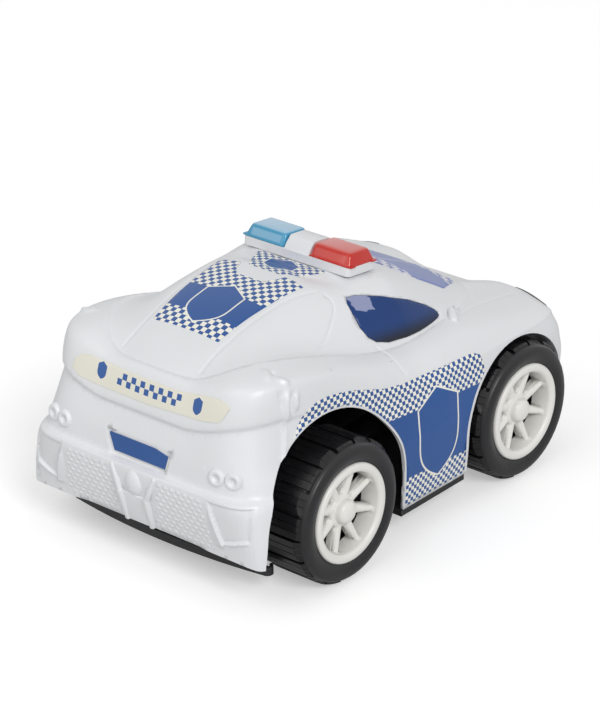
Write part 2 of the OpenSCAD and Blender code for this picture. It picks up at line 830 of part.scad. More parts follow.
side_outline = [[-96, 80], [-95.5, 88], [-91.5, 94], [-87.5, 98.4], [-83, 101.6], [-77, 103.4], [-70.5, 103.6], [-61, 102.4],
  [-51.4, 100.2], [-38, 95.8], [-28, 92.7], [-14, 90.4], [-3, 89.6], [24, 88.3], [43, 87.6], [47.5, 85.5], [49.5, 80],
  [49.5, 19.2], [-96, 19.2]];
module side_label() {
  color(label_blue)
    difference() {
      intersection() {
        skin_patch(0, 9, 44, 122, seat, seat + label_t);
        from_right(side_outline);
      }
      for (w = [[rear_axle_x, rear_arch_half + 1.2, rear_arch_r + 1.2], [front_axle_x, front_arch_r + 2.5, front_arch_r + 2.5]])
        translate([w[0], -body_w / 2, hub_z])
          rotate([90, 0, 0]) {
            scale([w[1] / w[2], 1, 1])
              cylinder(r = w[2], h = 60, center = true, $fn = 72);
            translate([-w[1], -hub_z, -30])
              cube([2 * w[1], hub_z, 60]);
          }
    }
}

module side_window_right() {
  color([0.12, 0.2, 0.42])
    intersection() {
      skin_patch(11, 15, 54, 126, seat - 0.5, seat + label_t - 0.5);
      from_right([for (p = window_outline) [14 + (p[0] - 14) * 0.98, 114 + (p[1] - 114) * 0.97]]);
    }
}

module side_window_left() {
  mirror([0, 1, 0])
    side_window_right();
}

headlight_outline = [[112, -66], [126, -50], [131.5, -52], [129, -70], [120, -78]];
module headlight_right() {
  color(black)
    intersection() {
      skin_patch(7, 9, 122, 162, seat, seat + label_t);
      from_above(headlight_outline);
    }
}

module headlight_left() {
  color(black)
    intersection() {
      skin_patch(7, 9, 198, 238, seat, seat + label_t);
      from_above([for (p = headlight_outline) [p[0], -p[1]]]);
    }
}

body_shell();
chassis();
chassis_screws();
rear_axle();
front_axle();
rear_rim_right();
rear_rim_left();
front_rim_right();
front_rim_left();
rear_tyre_right();
rear_tyre_left();
front_tyre_right();
front_tyre_left();
light_bar_base();
blue_lens();
red_lens();
hatch_label();
roof_label();
windscreen_label();
rear_panel_label();
number_plate_label();
side_label();
side_window_right();
side_window_left();
headlight_right();
headlight_left();
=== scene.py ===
"""Looks of the toy police car: smooth moulded body, printed labels, lenses, wheels, floor, light and camera."""

import math

import bmesh
import bpy
from mathutils import Matrix, Vector
from mathutils.bvhtree import BVHTree
from mathutils.kdtree import KDTree


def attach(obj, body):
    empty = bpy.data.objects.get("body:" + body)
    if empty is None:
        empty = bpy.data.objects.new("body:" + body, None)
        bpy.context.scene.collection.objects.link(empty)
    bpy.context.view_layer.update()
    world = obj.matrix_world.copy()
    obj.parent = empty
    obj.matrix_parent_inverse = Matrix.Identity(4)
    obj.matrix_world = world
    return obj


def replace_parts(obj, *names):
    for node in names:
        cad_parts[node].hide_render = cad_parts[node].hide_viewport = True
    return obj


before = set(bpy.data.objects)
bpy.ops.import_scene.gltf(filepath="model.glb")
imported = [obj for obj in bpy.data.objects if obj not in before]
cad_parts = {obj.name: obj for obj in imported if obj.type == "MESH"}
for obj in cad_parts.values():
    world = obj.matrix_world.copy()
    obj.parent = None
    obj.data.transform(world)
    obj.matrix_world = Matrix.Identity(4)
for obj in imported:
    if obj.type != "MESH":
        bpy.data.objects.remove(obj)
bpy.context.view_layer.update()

MM = 0.001

# Colours, linear
SHELL_WHITE = (0.8, 0.81, 0.83, 1)
WHEEL_WHITE = (0.86, 0.85, 0.81, 1)
CHASSIS_BLACK = (0.014, 0.014, 0.016, 1)
# tread colour holds painted shade: the same rubber as the sidewall, darker
TREAD_SHADED_BLACK = (0.005, 0.005, 0.006, 1)
SIDEWALL_GREY = (0.018, 0.018, 0.02, 1)
LABEL_BLUE = (0.026, 0.102, 0.34, 1)
LABEL_CREAM = (0.9, 0.885, 0.8, 1)
# paler inks of the windscreen label
PALE_INK_BLUE = (0.2, 0.26, 0.55, 1)
PALE_INK_WHITE = (0.8, 0.8, 0.86, 1)
PANEL_CREAM = (0.83, 0.81, 0.7, 1)
WINDOW_BLUE = (0.008, 0.048, 0.2, 1)
WINDOW_DEEP = (0.008, 0.011, 0.018, 1)
# colour of a painted reflection on the side windows
WINDOW_GLARE = (0.36, 0.39, 0.58, 1)
# Lens colours; the highlight colours are painted highlights on the lens tops and long sides
LENS_RED = (0.6, 0.018, 0.008, 1)
LENS_RED_HIGHLIGHT = (0.7, 0.15, 0.13, 1)
LENS_BLUE = (0.05, 0.33, 0.55, 1)
LENS_BLUE_HIGHLIGHT = (0.42, 0.63, 0.8, 1)
LAMP_DARK = (0.02, 0.02, 0.024, 1)
STEEL = (0.55, 0.55, 0.56, 1)

# Places of the car, millimetres
HUB_Z = 40
AXLES = {"rear": -70, "front": 80}
WHEEL_FACE = 94.1
TYRE_FACE = 91.6
BAR_PLACE = (7.5, 0, 134.2)
BAR_TILT = 6.5
BAR_HEIGHT = 4.9
PLATE_PLACE = (-129.4, 0, 71.5)
PLATE_TILT = 1.9
FRONT_END = 138.25
HANDS = {-1: "right", 1: "left"}

# Lengths for the skin of the body, metres
MERGE_GAP = 0.01 * MM
SKIN = 2.4 * MM
OUTSIDE = 0.2 * MM
STRAY = 1.5 * MM
EDGE_DETAIL = 0.8 * MM
EDGE_STEP = 1.2 * MM
EDGE_FILM = 3.0 * MM
EDGE_SKIN = 3.5 * MM
EDGE_DEEP = 6.0 * MM
LINE_REACH = 8.0 * MM


# Shader wiring

class Wiring:
    """Adds nodes to a shader tree and joins them."""

    def __init__(self, tree):
        self.tree = tree

    def node(self, kind, **settings):
        made = self.tree.nodes.new(kind)
        for key, value in settings.items():
            setattr(made, key, value)
        return made

    def join(self, source, socket):
        if isinstance(source, (int, float, tuple)):
            socket.default_value = source
        else:
            self.tree.links.new(source, socket)

    def math(self, operation, *values, clamp=False):
        made = self.node("ShaderNodeMath", operation=operation, use_clamp=clamp)
        for value, socket in zip(values, made.inputs):
            self.join(value, socket)
        return made.outputs[0]

    def mix(self, share, first, second):
        made = self.node("ShaderNodeMix", data_type="RGBA")
        for value, socket in zip((share, first, second), (made.inputs[0], made.inputs[6], made.inputs[7])):
            self.join(value, socket)
        return made.outputs[2]

    def ramp(self, value, low, high):
        made = self.node("ShaderNodeMapRange", interpolation_type="SMOOTHSTEP")
        for given, socket in zip((value, low, high), made.inputs):
            self.join(given, socket)
        return made.outputs[0]

    def within(self, value, half, soft):
        """One where a value lies within half of nought, fading out over a soft edge."""
        return self.ramp(self.math("ABSOLUTE", value), half + soft, half)

    def place(self, centre=None, tilt=0.0):
        """Object coordinates split in X, Y and Z, counted from a tilted centre where one is given."""
        split = self.node("ShaderNodeSeparateXYZ")
        spot = self.node("ShaderNodeTexCoord").outputs["Object"]
        if centre:
            mapping = self.node("ShaderNodeMapping", vector_type="TEXTURE")
            mapping.inputs["Location"].default_value = [c * MM for c in centre]
            mapping.inputs["Rotation"].default_value = (0, math.radians(tilt), 0)
            self.join(spot, mapping.inputs["Vector"])
            spot = mapping.outputs[0]
        self.join(spot, split.inputs[0])
        return split.outputs

    def noise(self, scale, detail=2.0):
        made = self.node("ShaderNodeTexNoise")
        self.join(self.node("ShaderNodeTexCoord").outputs["Object"], made.inputs["Vector"])
        made.inputs["Scale"].default_value = scale
        made.inputs["Detail"].default_value = detail
        return made.outputs[0]


def new_group(name, inputs, outputs):
    tree = bpy.data.node_groups.new(name, "ShaderNodeTree")
    for label in inputs:
        tree.interface.new_socket(label, in_out="INPUT", socket_type="NodeSocketFloat")
    for label in outputs:
        tree.interface.new_socket(label, in_out="OUTPUT", socket_type="NodeSocketFloat")
    wires = Wiring(tree)
    return tree, wires, wires.node("NodeGroupInput").outputs, wires.node("NodeGroupOutput").inputs


def use_group(wires, tree, **values):
    made = wires.node("ShaderNodeGroup", node_tree=tree)
    for label, value in values.items():
        wires.join(value, made.inputs[label.replace("_", " ")])
    return made.outputs


def moulded_group():
    """Cloudy shade, uneven gloss and fine unevenness of moulded plastic."""
    tree, w, given, out = new_group("moulded_skin", ["Gloss", "Spread"], ["Shade", "Roughness", "Height"])
    cloud = w.noise(16.0, 3.0)
    fine = w.noise(900.0, 2.0)
    w.join(w.ramp(cloud, 0.25, 0.75), out["Shade"])
    uneven = w.math("MULTIPLY", w.math("SUBTRACT", w.noise(60.0, 3.0), 0.5), given["Spread"])
    w.join(w.math("ADD", given["Gloss"], uneven, clamp=True), out["Roughness"])
    w.join(w.math("ADD", w.math("MULTIPLY", cloud, 0.6), w.math("MULTIPLY", fine, 0.4)), out["Height"])
    return tree


def checks_group():
    """Squares of a checked band, one where the pale squares are."""
    tree, w, given, out = new_group("checked_band", ["Across", "Along", "Size"], ["Pale"])
    cells = [w.math("FLOOR", w.math("DIVIDE", given[axis], given["Size"])) for axis in ("Across", "Along")]
    w.join(w.math("FLOORED_MODULO", w.math("ADD", *cells), 2.0), out["Pale"])
    return tree


def shield_group():
    """Plain shield, flat at the top and pointed below. Across and Along are counted from its middle."""
    tree, w, given, out = new_group("plain_shield", ["Across", "Along", "Half Width", "Half Height", "Line"],
                                    ["Inside", "Line"])

    def within(inset):
        half_w = w.math("SUBTRACT", given["Half Width"], inset)
        half_h = w.math("SUBTRACT", given["Half Height"], inset)
        fall = w.math("DIVIDE", w.math("MAXIMUM", w.math("MULTIPLY", given["Along"], -1.0), 0.0), half_h)
        waist = w.math("MAXIMUM", w.math("SUBTRACT", 1.0, w.math("POWER", fall, 3.2)), 0.0)
        side = w.math("SUBTRACT", w.math("MULTIPLY", half_w, waist), w.math("ABSOLUTE", given["Across"]))
        crown = w.math("MULTIPLY", w.math("ABSOLUTE", given["Across"]), 0.55)
        top = w.math("SUBTRACT", w.math("SUBTRACT", half_h, crown), given["Along"])
        return w.math("GREATER_THAN", w.math("MINIMUM", side, top), 0.0)

    whole = within(0.0)
    field = within(given["Line"])
    w.join(field, out["Inside"])
    w.join(w.math("SUBTRACT", whole, field), out["Line"])
    return tree


MOULDED = moulded_group()
CHECKS = checks_group()
SHIELD = shield_group()


def new_material(name, **constants):
    material = bpy.data.materials.new(name)
    material.use_nodes = True
    w = Wiring(material.node_tree)
    shader = material.node_tree.nodes["Principled BSDF"]
    for label, value in constants.items():
        shader.inputs[label.replace("_", " ")].default_value = value
    return material, w, shader


def clouded(w, cloud, colour, shade):
    """A colour that is a little darker in places."""
    return w.mix(cloud, tuple(c * shade for c in colour[:3]) + (1,), colour)


def moulded_finish(w, shader, colour, gloss, spread, depth):
    """Joins the moulded plastic group to a shader: given colour, uneven gloss and a slight bump."""
    skin = use_group(w, MOULDED, Gloss=gloss, Spread=spread)
    w.join(colour(skin["Shade"]), shader.inputs["Base Color"])
    w.join(skin["Roughness"], shader.inputs["Roughness"])
    bump = w.node("ShaderNodeBump")
    bump.inputs["Strength"].default_value = 0.25
    bump.inputs["Distance"].default_value = depth
    w.join(skin["Height"], bump.inputs["Height"])
    w.join(bump.outputs[0], shader.inputs["Normal"])


def plastic(name, colour, shade=0.94, gloss=0.38, spread=0.2, depth=0.0002, **constants):
    material, w, shader = new_material(name, **constants)
    moulded_finish(w, shader, lambda cloud: clouded(w, cloud, colour, shade), gloss, spread, depth)
    return material


def shield_at(w, u, v, middle, half_w, half_h, line):
    across, along = (w.math("SUBTRACT", value, centre * MM) for value, centre in zip((u, v), middle))
    return use_group(w, SHIELD, Across=across, Along=along,
                     Half_Width=half_w * MM, Half_Height=half_h * MM, Line=line * MM)


FILM_COAT = {"Coat_Weight": 0.05, "Coat_Roughness": 0.2, "Specular_IOR_Level": 0.35}


def film_finish(w, shader, colour, gloss=0.32):
    moulded_finish(w, shader, colour, gloss, 0.15, 0.00005)


def printed_film(name, across, along, middle, check, low_band, high_band, shield, lean=0.0,
                 inks=(LABEL_BLUE, LABEL_CREAM)):
    """Blue label with checked bands below low_band and above high_band and a plain shield between them."""
    material, w, shader = new_material(name, **FILM_COAT)
    xyz = w.place()
    u = w.math("SUBTRACT", xyz[across], middle[0] * MM)
    v = w.math("SUBTRACT", xyz[along], middle[1] * MM)
    level = w.math("ADD", v, w.math("MULTIPLY", u, lean))
    pale = use_group(w, CHECKS, Across=u, Along=v, Size=check * MM)["Pale"]
    band = w.math("MAXIMUM", w.math("GREATER_THAN", level, high_band * MM),
                  w.math("LESS_THAN", level, low_band * MM))
    badge = shield_at(w, u, v, *shield)
    outside = w.math("SUBTRACT", 1.0, badge["Inside"])
    printed = w.math("MAXIMUM", w.math("MULTIPLY", w.math("MULTIPLY", pale, band), outside), badge["Line"])
    film_finish(w, shader, lambda cloud: w.mix(printed, clouded(w, cloud, inks[0], 0.9), inks[1]))
    return material


def rear_panel_film():
    """Cream film with a plain shield near each end and a short checked strip in the middle."""
    material, w, shader = new_material("rear_panel_film", Coat_Weight=0.1, Coat_Roughness=0.2)
    xyz = w.place()
    u = w.math("ADD", xyz["Y"], 3.0 * MM)
    rise = w.math("MULTIPLY", w.math("MULTIPLY", u, u), 1.1)
    v = w.math("SUBTRACT", w.math("SUBTRACT", xyz["Z"], 104.7 * MM), rise)
    pale = use_group(w, CHECKS, Across=u, Along=v, Size=3.2 * MM)["Pale"]
    strip = w.math("MULTIPLY", w.math("LESS_THAN", w.math("ABSOLUTE", u), 22.4 * MM),
                   w.math("LESS_THAN", w.math("ABSOLUTE", v), 3.2 * MM))
    ends = shield_at(w, w.math("ABSOLUTE", u), v, (34, 0), 3.6, 5.0, 0.5)["Inside"]
    blue = w.math("MAXIMUM", w.math("MULTIPLY", pale, strip), ends)
    film_finish(w, shader, lambda cloud: w.mix(blue, clouded(w, cloud, PANEL_CREAM, 0.95), LABEL_BLUE), 0.36)
    return material


def plate_film():
    """Blue film, paler along its lower edge and at its ends."""
    material, w, shader = new_material("plate_film", **FILM_COAT)
    xyz = w.place(PLATE_PLACE, PLATE_TILT)
    foot = w.ramp(xyz["Z"], -5.2 * MM, -5.7 * MM)
    along = w.math("ADD", w.math("ABSOLUTE", xyz["Y"]), w.math("MULTIPLY", xyz["Z"], -0.33))
    ends = w.ramp(along, 19.9 * MM, 20.5 * MM)
    pale = w.math("MULTIPLY", w.math("MAXIMUM", foot, ends), 0.85)
    film_finish(w, shader, lambda cloud: w.mix(pale, clouded(w, cloud, LABEL_BLUE, 0.9), LABEL_CREAM))
    return material


def window_film():
    """Glossy film, blue above, nearly black along its foot, with a painted reflection: a pale ragged patch at its
    rear top corner.
    """
    material, w, shader = new_material("side_window_film", Coat_Weight=0.04, Coat_Roughness=0.1,
                                       Specular_IOR_Level=0.25)
    xyz = w.place()
    ragged = w.math("MULTIPLY", w.math("SUBTRACT", w.noise(260.0, 4.0), 0.5), 6.0 * MM)
    height = w.ramp(w.math("ADD", xyz["Z"], w.math("MULTIPLY", xyz["X"], 0.1)), 0.1035, 0.1125)
    run = w.math("SUBTRACT", w.math("ADD", xyz["X"], ragged), -7.5 * MM)
    edge = w.math("SUBTRACT", 122.0 * MM, w.math("MULTIPLY", run, 0.2))
    rise = w.math("SUBTRACT", w.math("ADD", xyz["Z"], ragged), edge)
    # painted reflection: a pale patch with ragged edges near the rear top corner
    glare_patch = w.math("MULTIPLY", w.within(run, 6.0 * MM, 0.6 * MM), w.ramp(rise, 0.0, 0.0006))
    share = w.math("MULTIPLY", glare_patch, 0.8)
    film_finish(w, shader, lambda cloud: w.mix(
        share, w.mix(height, WINDOW_DEEP, clouded(w, cloud, WINDOW_BLUE, 0.85)), WINDOW_GLARE), 0.18)
    return material


def lens_plastic(name, colour, pale):
    """Clear tinted plastic with painted highlights: paler on its top, and in a pale band along its long sides
    standing for light through the hollow.
    """
    material, w, shader = new_material(name, Coat_Weight=0.15, Coat_Roughness=0.08, Specular_IOR_Level=0.4)
    xyz = w.place(BAR_PLACE, BAR_TILT)
    rise = w.math("SUBTRACT", xyz["Z"], BAR_HEIGHT * MM)
    # painted highlight: paler on the top of the lens
    top = w.ramp(rise, 6.3 * MM, 7.2 * MM)
    length = w.math("SUBTRACT", w.math("ABSOLUTE", xyz["Y"]), 22.6 * MM)
    # painted highlight: a pale band along each long side, standing for light through the hollow
    side_highlight = w.math("MULTIPLY", w.within(w.math("SUBTRACT", rise, 3.4 * MM), 1.4 * MM, 1.1 * MM),
                    w.within(length, 9.5 * MM, 2.0 * MM))
    side_highlight = w.math("MULTIPLY", side_highlight, w.ramp(w.math("ABSOLUTE", xyz["X"]), 7.4 * MM, 8.6 * MM))
    # share of the painted highlight colour given as pale
    share = w.math("MAXIMUM", w.math("MULTIPLY", top, 0.8), w.math("MULTIPLY", side_highlight, 0.45))
    moulded_finish(w, shader, lambda cloud: w.mix(share, clouded(w, cloud, colour, 0.88), pale), 0.14, 0.06, 0.0001)
    return material


def tyre_rubber(name, axle_x):
    """Rubber with the tread painted darker than the sidewall as painted shade, and faint rings on the sidewall."""
    material, w, shader = new_material(name, Specular_IOR_Level=0.38)
    xyz = w.place((axle_x, 0, HUB_Z))
    radius = w.math("SQRT", w.math("ADD", w.math("POWER", xyz["X"], 2.0), w.math("POWER", xyz["Z"], 2.0)))
    # painted shade: the tread takes the darker colour, the sidewall the greyer one
    side = w.ramp(radius, 38.5 * MM, 37.6 * MM)
    rings = w.math("MULTIPLY", w.math("SINE", w.math("MULTIPLY", radius, 5200.0)), 0.08)
    share = w.math("ADD", w.math("MULTIPLY", side, 0.9), w.math("MULTIPLY", side, rings), clamp=True)
    moulded_finish(w, shader, lambda cloud: w.mix(share, clouded(w, cloud, TREAD_SHADED_BLACK, 0.7), SIDEWALL_GREY),
                   0.32, 0.26, 0.0004)
    return material


white_plastic = plastic("white_shell_plastic", SHELL_WHITE, shade=0.96, gloss=0.4, Coat_Weight=0.12,
                        Coat_Roughness=0.25)
wheel_plastic = plastic("warm_white_rim_plastic", WHEEL_WHITE, gloss=0.33)
black_plastic = plastic("black_chassis_plastic", CHASSIS_BLACK, shade=0.8, gloss=0.5)
red_lens_plastic = lens_plastic("red_lens_plastic", LENS_RED, LENS_RED_HIGHLIGHT)
blue_lens_plastic = lens_plastic("blue_lens_plastic", LENS_BLUE, LENS_BLUE_HIGHLIGHT)
dark_film = plastic("dark_headlight_film", LAMP_DARK, gloss=0.4, spread=0.1, Specular_IOR_Level=0.3)
steel_metal = plastic("drawn_steel", STEEL, shade=0.85, gloss=0.3, spread=0.2, Metallic=1.0)
cream_film = rear_panel_film()
glass_film = window_film()
side_film = printed_film("side_label_film", "X", "Z", (12, 50), 2.25, -15.5, 22,
                         ((-2.2, 4.5), 16.6, 27, 1.1), lean=0.06)
hatch_film = printed_film("hatch_label_film", "Y", "X", (0, -69), 3.0, -10.2, 10.2, ((0, 0), 13.5, 17.5, 0.9))
roof_film = printed_film("roof_label_film", "Y", "X", (0, -15), 2.6, 60, 90, ((0, 0), 10.5, 9.5, 0.8))
windscreen_film = printed_film("windscreen_label_film", "Y", "X", (0, 62), 4.2, -15, 15, ((0, 0), 15, 21, 1.0),
                               inks=(PALE_INK_BLUE, PALE_INK_WHITE))
number_film = plate_film()
tyre_films = {end: tyre_rubber(end + "_tyre_rubber", x) for end, x in AXLES.items()}


# Curved surface of the body, the same sections as the moulding
LEVELS = [
    (-130, 28.5, 85.5, 85.5, 17.5, 87, 130, 27, 14, 9, 0, 0, 0),
    (-133.5, 42, 85.5, 87, 32, 89, 135, 40, 12, 8, 0, 0, 1),
    (-135.8, 57, 84.5, 88, 50, 89.5, 138.1, 54, 10, 8, 0, 0, 1),
    (-135.5, 62.5, 83.5, 88.2, 58, 89.5, 138.1, 62, 9, 8, 0, 0, 0.3),
    (-131.5, 64.5, 82, 88, 62, 89.5, 137, 66, 9, 8, 1, 0, 0.3),
    (-129.5, 77, 77.5, 87.5, 73, 89, 135.5, 74, 8, 8, 5, 1, 1),
    (-125.4, 90, 75, 86, 82, 88, 133.5, 81, 7, 7, 10, 2.5, 0.5),
    (-126.8, 93, 75.5, 85.5, 84.5, 87.5, 133, 83, 7, 7, 11, 1.5, 0.5),
    (-123.5, 104, 76, 81.5, 92.5, 82, 127, 87.5, 7, 6, 12, 1.5, 1),
    (-120.5, 111.5, 75, 75.5, 98, 72, 117, 91.5, 6, 5, 12, 1, 1),
    (-117, 115, 65, 67, 101, 57, 101, 97, 3.4, 4, 12.5, 0, 0),
    (-115.5, 114.2, 63.5, 65.8, 100.8, 56, 99, 97, 3.4, 4, 12, 0, 0),
    (-110, 118, 59, 63, 105, 53, 92, 101.5, 3.2, 3.5, 8, 0, 1),
    (-97, 125, 53, 58.5, 114.5, 47, 76, 110, 3, 3.5, 2, 0, 1),
    (-77, 132.2, 47, 53.5, 123.5, 41, 54, 120, 2.8, 3.5, 0, 0, 1),
    (-54, 136.8, 40, 47, 129.7, 34, 34, 128.8, 2.7, 3, 0, 0, 1),
    (-39, 138.5, 32, 36, 133.8, 26, 15, 132.8, 2.6, 2.8, 0, 0, 1),
    (-27, 138.9, 17, 18, 136.4, 14, -2, 134.8, 2.4, 2.4, 0, 0, 1),
]
FACET_STEPS = (0, 1, 2, 2.6, 3, 3.4, 4, 5, 5.5, 6, 6.5, 7, 7.5, 8, 8.5, 9,
               10, 11, 11.4, 12, 12.7, 13.4, 14, 15, 16, 17)
MID_X = 15


def soft_step(low, high, value):
    t = min(1.0, max(0.0, (value - low) / (high - low)))
    return t * t * (3 - 2 * t)


def hump(u):
    return 0.0 if abs(u) > 1 else (1 - u * u) ** 2


def section(v):
    """Section values at any height, smooth where the body is smooth and creased where it has a crease."""
    i = min(len(LEVELS) - 2, int(v))
    t = v - i

    def slope(k):
        before, after = LEVELS[max(0, k - 1)], LEVELS[min(len(LEVELS) - 1, k + 1)]
        return [(b - a) * 0.5 * LEVELS[k][12] for a, b in zip(before, after)]

    weights = (2 * t ** 3 - 3 * t * t + 1, t ** 3 - 2 * t * t + t, 3 * t * t - 2 * t ** 3, t ** 3 - t * t)
    rows = (LEVELS[i], slope(i), LEVELS[i + 1], slope(i + 1))
    return [sum(weight * values[k] for weight, values in zip(weights, rows)) for k in range(13)]


def ring_point(r, angle):
    """Point of a section: the angle runs from the rear round the right side to the front."""
    c, s = math.cos(math.radians(angle)), math.sin(math.radians(angle))
    back = c > 0
    power = max(1.8, r[8] if back else r[9])
    rho = (abs(c) ** power + abs(s) ** power) ** (-1 / power)
    mid = min(MID_X, r[6] - 14)
    u = rho * abs(c)
    x = mid + ((r[0] if back else r[6]) - mid) * u
    end_w = r[2] if back else r[5]
    half = r[3] + (end_w - r[3]) * soft_step(-0.15 if back else -0.1, 1.15, u)
    a = abs(angle - 360 if angle > 180 else angle)
    z = (r[4] + (r[1] - r[4]) * (1 - soft_step(36, 76, a)) + (r[7] - r[4]) * soft_step(104, 146, a)
         + r[10] * hump((a - 54) / 34) + r[11] * hump((a - 119) / 24))
    return Vector((x, -half * rho * s, z)) * MM


def body_sheet(steps, around, split):
    """Sheet over the whole body through the given section lines."""
    bm = bmesh.new()
    bmesh.ops.create_grid(bm, x_segments=around, y_segments=len(steps) - 1, size=1.0)
    rows = [section(v) for v in steps]
    for vert in bm.verts:
        vert.co = ring_point(rows[round((vert.co.y + 1) / 2 * (len(steps) - 1))], (vert.co.x + 1) * 180)
    top = list(bm.verts)[-around - 1:]
    middle = bm.verts.new(sum((v.co for v in top[:-1]), Vector()) / around)
    for first, second in zip(top, top[1:]):
        bm.faces.new((second, first, middle))
    bmesh.ops.triangulate(bm, faces=bm.faces[:], quad_method=split)
    bmesh.ops.remove_doubles(bm, verts=bm.verts, dist=1e-6)
    bmesh.ops.recalc_face_normals(bm, faces=bm.faces)
    bm.normal_update()
    tree = BVHTree.FromBMesh(bm)
    bm.free()
    return tree


FACETS = body_sheet(FACET_STEPS, 72, "ALTERNATE")
SURFACE = body_sheet([(len(LEVELS) - 1) * k / 255 for k in range(256)], 288, "ALTERNATE")


def shaped(spot):
    """Point of the visible body: dished bonnet, rounder front corners, slanting rear corners, fuller arch edge."""
    x, y, z = (c / MM for c in spot)
    wide = abs(y)
    dish = 5.4 * soft_step(80, 106, x) * (1 - soft_step(14, 42, wide))
    corner = 2.8 * soft_step(116, 131, x) * soft_step(52, 76, wide)
    low = 1 - min(1.0, max(0.0, (z - 28) / 36))
    slant = 5.5 * soft_step(-134, -121, x) * (1 - soft_step(-112, -100, x)) * soft_step(38, 50, wide) * low
    arch = 2.0 * hump((x + 20) / 16) * soft_step(56, 70, wide) * (1 - soft_step(60, 88, z))
    return Vector((min(x - slant + arch, FRONT_END), y, z - soft_step(58, 82, z) * (dish + corner))) * MM


def depth_of(point, sheet):
    """Distance of a point outside a sheet of the body, and the nearest place and normal there."""
    place, normal, _, _ = sheet.find_nearest(point)
    return (point - place).dot(normal), place, normal


# Cut lines of the solid shell: points of the right side, seen from above or from the side, millimetres
HATCH_LINE = [(-112, -27), (-97, -27), (-80, -28), (-58, -29.5), (-38, -32), (-26, -35)]
QUARTER_LINE = [(-25.6, 134.2), (-23.7, 132.2), (-24.1, 129.7), (-26.4, 127.2), (-31.5, 124.1), (-41.4, 118.8),
                (-56.5, 116.4), (-64, 112)]
DOOR_LINE = [(-7, 105), (-13.5, 101), (-13, 92.9)]

# Soft lines and gathers of the visible shell: points of the right side, view, depth and half width, millimetres
SOFT_LINES = [
    (HATCH_LINE, "above", 0.5, 0.9),
    (QUARTER_LINE[:-2] + [(-51, 117.4)], "side", 0.5, 0.9),
    ([(-13.8, 107), (-10.9, 103.3), (-11.8, 99.4), (-9.4, 92.3)], "side", 0.45, 0.7),
    ([(-95.3, -57.6), (-99.2, -63.3), (-102.5, -68.7)], "above", -1.3, 2.2),
    ([(-93.5, -61.5), (-96.5, -66.5)], "above", 0.7, 1.1),
    ([(-97.9, 121.3), (-95.3, 119.7), (-93, 117)], "side", -1.3, 1.7),
    ([(-92.3, 117.7), (-96.2, 112.8), (-97.5, 105.4), (-96.4, 96.5)], "side", -1.9, 1.9),
    ([(-91.3, 114.2), (-95.1, 109.4), (-94.7, 101.1)], "side", 1.0, 1.1),
    ([(-89.8, 115), (-91.3, 109.1), (-92.1, 101.4)], "side", -1.5, 1.6),
    ([(-99, 117.7), (-100.6, 113.1), (-99.9, 106.2)], "side", 0.8, 1.3),
    ([(57.5, -65.6), (73.7, -62.6), (88, -62), (105.5, -60.5), (116, -58)], "above", 0.45, 1.0),
    ([(0, 62.9), (-30, 62.9), (-60, 62.6), (-78, 62)], "rear", -0.45, 0.6),
]


def smooth_path(points, parts=24):
    """Points of a smooth curve through the given points."""
    ends = [points[0]] + list(points) + [points[-1]]
    path = []
    for a, b, c, d in zip(ends, ends[1:], ends[2:], ends[3:]):
        for k in range(parts):
            t = k / parts
            weights = (2 * t * t - t - t ** 3, 2 - 5 * t * t + 3 * t ** 3, t + 4 * t * t - 3 * t ** 3, t ** 3 - t * t)
            path.append(tuple(0.5 * sum(weight * value for weight, value in zip(weights, values))
                              for values in zip(a, b, c, d)))
    return path + [tuple(points[-1])]


def on_body(u, v, view, side):
    """Point of the body under a point of an outline drawn from above, from the rear or from the side."""
    if view == "above":
        start, way = Vector((u, -side * v, 300)) * MM, Vector((0, 0, -1))
    elif view == "rear":
        start, way = Vector((-300, -side * u, v)) * MM, Vector((1, 0, 0))
    else:
        start, way = Vector((u, side * 300, v)) * MM, Vector((0, -side, 0))
    return SURFACE.ray_cast(start, way)[0]


def line_marks():
    """Marks along each soft line on both sides of the body: place, depth there and half width."""
    lines = []
    for points, view, depth, half in SOFT_LINES:
        path = smooth_path(points)
        run = [0.0]
        for first, second in zip(path, path[1:]):
            run.append(run[-1] + math.dist(first, second))
        fade = 0.4 * run[-1] if depth < 0 or run[-1] < 16 else 2.0
        marks = []
        for (u, v), gone in zip(path, run):
            share = soft_step(0, fade, gone) * soft_step(0, fade, run[-1] - gone)
            for side in (-1, 1):
                spot = on_body(u, v, view, side)
                if spot:
                    marks.append((spot, depth * share * MM, half * MM))
        lines.append(marks)
    return lines


def mark_tree(marks):
    """Tree that finds the mark nearest to a place, and the marks."""
    tree = KDTree(len(marks))
    for k, mark in enumerate(marks):
        tree.insert(mark[0], k)
    tree.balance()
    return tree, marks


LINES = [mark_tree(marks) for marks in line_marks()]
ALL_LINES = mark_tree([mark for _, marks in LINES for mark in marks])

# Edge between the rear panel and the flare of the rear arch
FLARE_EDGE = smooth_path([(-99.6, 103.7), (-98.9, 96), (-100.4, 89.6), (-102, 83.8), (-104, 77), (-106, 70)])


def flare(spot):
    """Step from the flare of the rear arch down to the rear panel."""
    x, y, z = (c / MM for c in spot)
    if not -125 < x < -92 or not 68 < z < 106 or abs(y) < 55:
        return 0.0
    far, edge_x = min((math.hypot(x - u, z - v), u) for u, v in FLARE_EDGE)
    fade = soft_step(70, 78, z) * (1 - soft_step(97, 104, z))
    if x < edge_x:
        return -1.3 * MM * fade * soft_step(0, 0.9, far) * math.exp(-far / 9)
    return 0.45 * MM * fade * math.exp(-(far / 1.6) ** 2)


def mesh_field(spot):
    """Height of the raised dots on the bumper's mesh fields, or None outside them."""
    x, y, z = (c / MM for c in spot)
    y = abs(y)
    if x > -120 or not 31.5 < z < 60 or not 11.8 + (z - 31) * 0.2 < y < 53.2 - (z - 31) * 0.19:
        return None
    row = math.floor((z - 31) / 3.0)
    across = ((y / 4.6 + 0.5 * (row % 2)) % 1.0) * 2 - 1
    up = ((z - 31) / 3.0 % 1.0) * 2 - 1
    return 0.8 * MM * max(0.0, 1 - abs(across) * 1.25) * max(0.0, 1 - abs(up) * 1.15)


